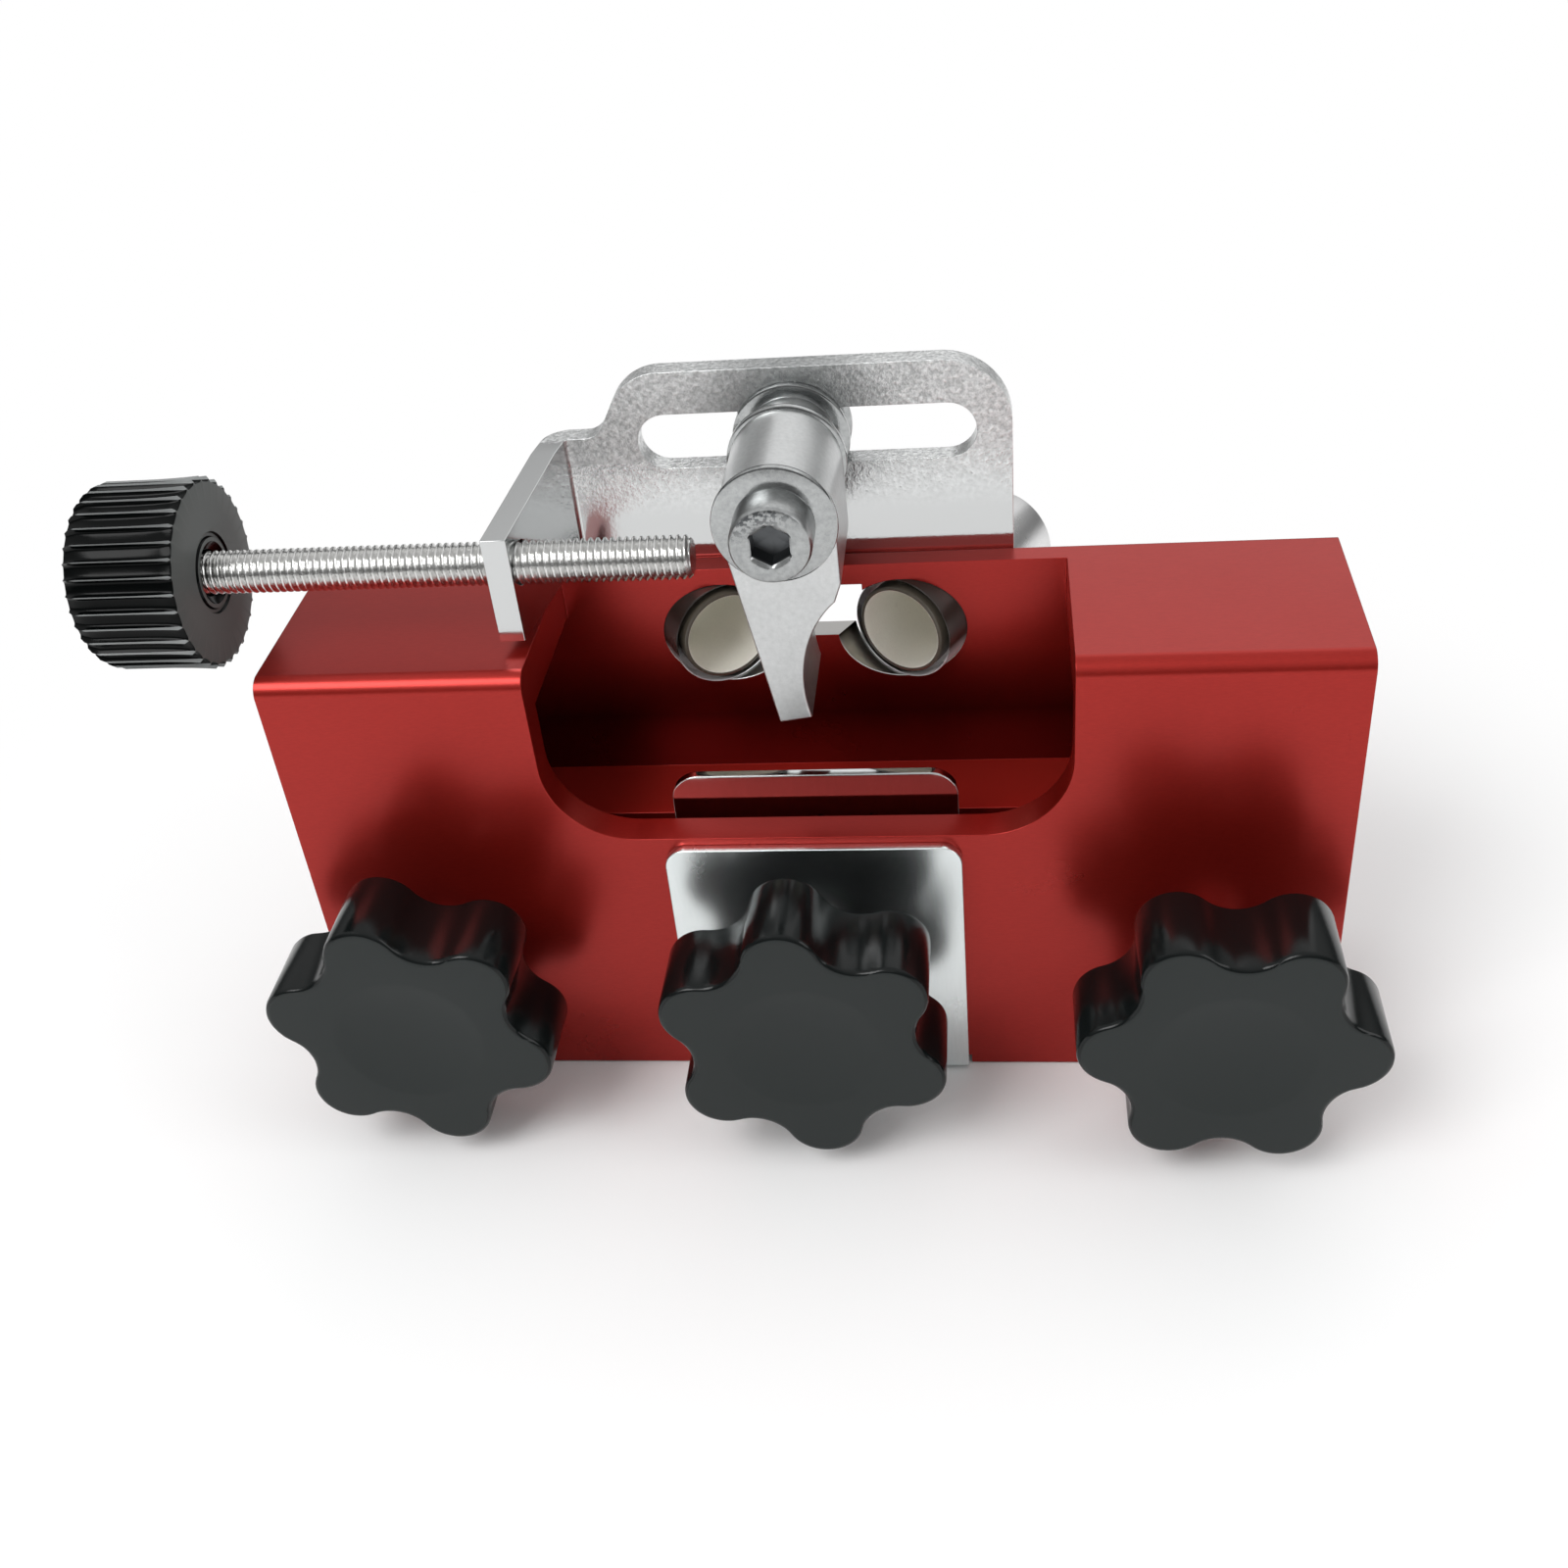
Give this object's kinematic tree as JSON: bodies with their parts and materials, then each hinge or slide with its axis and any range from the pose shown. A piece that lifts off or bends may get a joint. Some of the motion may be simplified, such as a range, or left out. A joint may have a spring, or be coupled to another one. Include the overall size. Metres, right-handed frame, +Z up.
{
  "type": "chainsaw chain sharpening jig",
  "caption": "Guide-bar clamp jig for sharpening saw chain: slotted metal channel, star clamp knobs, swinging pawl with screw adjuster and angled guide tubes.",
  "frame": {"origin": "middle of the body's flat underside", "axes": "+X along the body's length, +Y to the back (away from the star knobs), +Z up"},
  "size_m": [0.1749, 0.0826, 0.1013],
  "materials": {
    "anodised_red": "satin",
    "bare_aluminium": "machined",
    "bush_metal": "satin",
    "galvanised_steel": "zinc plated",
    "polished_steel": "polished",
    "zinc_fastener": "bright zinc",
    "black_plastic": "gloss sides, satin face"
  },
  "bodies": {
    "frame": {"body_channel": "anodised_red", "guide_tube_left": "bare_aluminium", "guide_tube_right": "bare_aluminium", "guide_bush_left": "bush_metal", "guide_bush_right": "bush_metal", "pawl_bracket": "galvanised_steel", "bracket_screws": "zinc_fastener", "front_plate": "polished_steel"},
    "carriage": {"pawl_bolt": "zinc_fastener", "pawl_washers": "zinc_fastener", "pawl_spacer": "zinc_fastener", "pawl_nut": "zinc_fastener"},
    "swing_pawl": {"pawl": "galvanised_steel"},
    "adjuster": {"adjusting_screw": "zinc_fastener", "adjusting_knob": "black_plastic"},
    "pad_left": {"clamp_pad_left": "zinc_fastener"},
    "clamp_left": {"star_knob_left": "black_plastic", "clamp_stud_left": "zinc_fastener"},
    "pad_center": {"chain_plate": "polished_steel"},
    "clamp_center": {"star_knob_center": "black_plastic", "clamp_stud_center": "zinc_fastener"},
    "pad_right": {"clamp_pad_right": "zinc_fastener"},
    "clamp_right": {"star_knob_right": "black_plastic", "clamp_stud_right": "zinc_fastener"}
  },
  "joints": [
    {"name": "carriage_slide", "type": "slide", "parent": "frame", "child": "carriage", "axis": [1, 0, 0], "range_m": [-0.014, 0.0045]},
    {"name": "pawl_swing", "type": "hinge", "parent": "carriage", "child": "swing_pawl", "pos_m": [-0.0012, 0, 0.0909], "axis": [0, -1, 0], "range_deg": [-20, 100]},
    {"name": "adjuster_turn", "type": "hinge", "parent": "carriage", "child": "adjuster", "pos_m": [-0.0805, -0.0054, 0.0842], "axis": [1, 0, 0], "range_deg": [-5041, 1621]},
    {"name": "pad_slide_left", "type": "slide", "parent": "frame", "child": "pad_left", "axis": [0, 1, 0], "range_m": [-0.0032, 0.0049]},
    {"name": "knob_turn_left", "type": "hinge", "parent": "pad_left", "child": "clamp_left", "pos_m": [-0.0574, -0.0161, 0.0246], "axis": [0, 1, 0], "range_deg": [-922.6, 1412.2]},
    {"name": "plate_slide", "type": "slide", "parent": "frame", "child": "pad_center", "axis": [0, 1, 0], "range_m": [-0.0019, 0.0057]},
    {"name": "knob_turn_center", "type": "hinge", "parent": "pad_center", "child": "clamp_center", "pos_m": [-0.0006, -0.0161, 0.0246], "axis": [0, 1, 0], "range_deg": [-548.2, 1642.6]},
    {"name": "pad_slide_right", "type": "slide", "parent": "frame", "child": "pad_right", "axis": [0, 1, 0], "range_m": [-0.0002, 0.0079]},
    {"name": "knob_turn_right", "type": "hinge", "parent": "pad_right", "child": "clamp_right", "pos_m": [0.0574, -0.0161, 0.0246], "axis": [0, 1, 0], "range_deg": [-58.6, 2276.2]}
  ],
  "couplings": [
    {"joint": "adjuster_turn", "follows": "carriage_slide", "rad_per_m": 6283.2},
    {"joint": "knob_turn_left", "follows": "pad_slide_left", "rad_per_m": 5026.5},
    {"joint": "knob_turn_center", "follows": "plate_slide", "rad_per_m": 5026.5},
    {"joint": "knob_turn_right", "follows": "pad_slide_right", "rad_per_m": 5026.5}
  ]
}
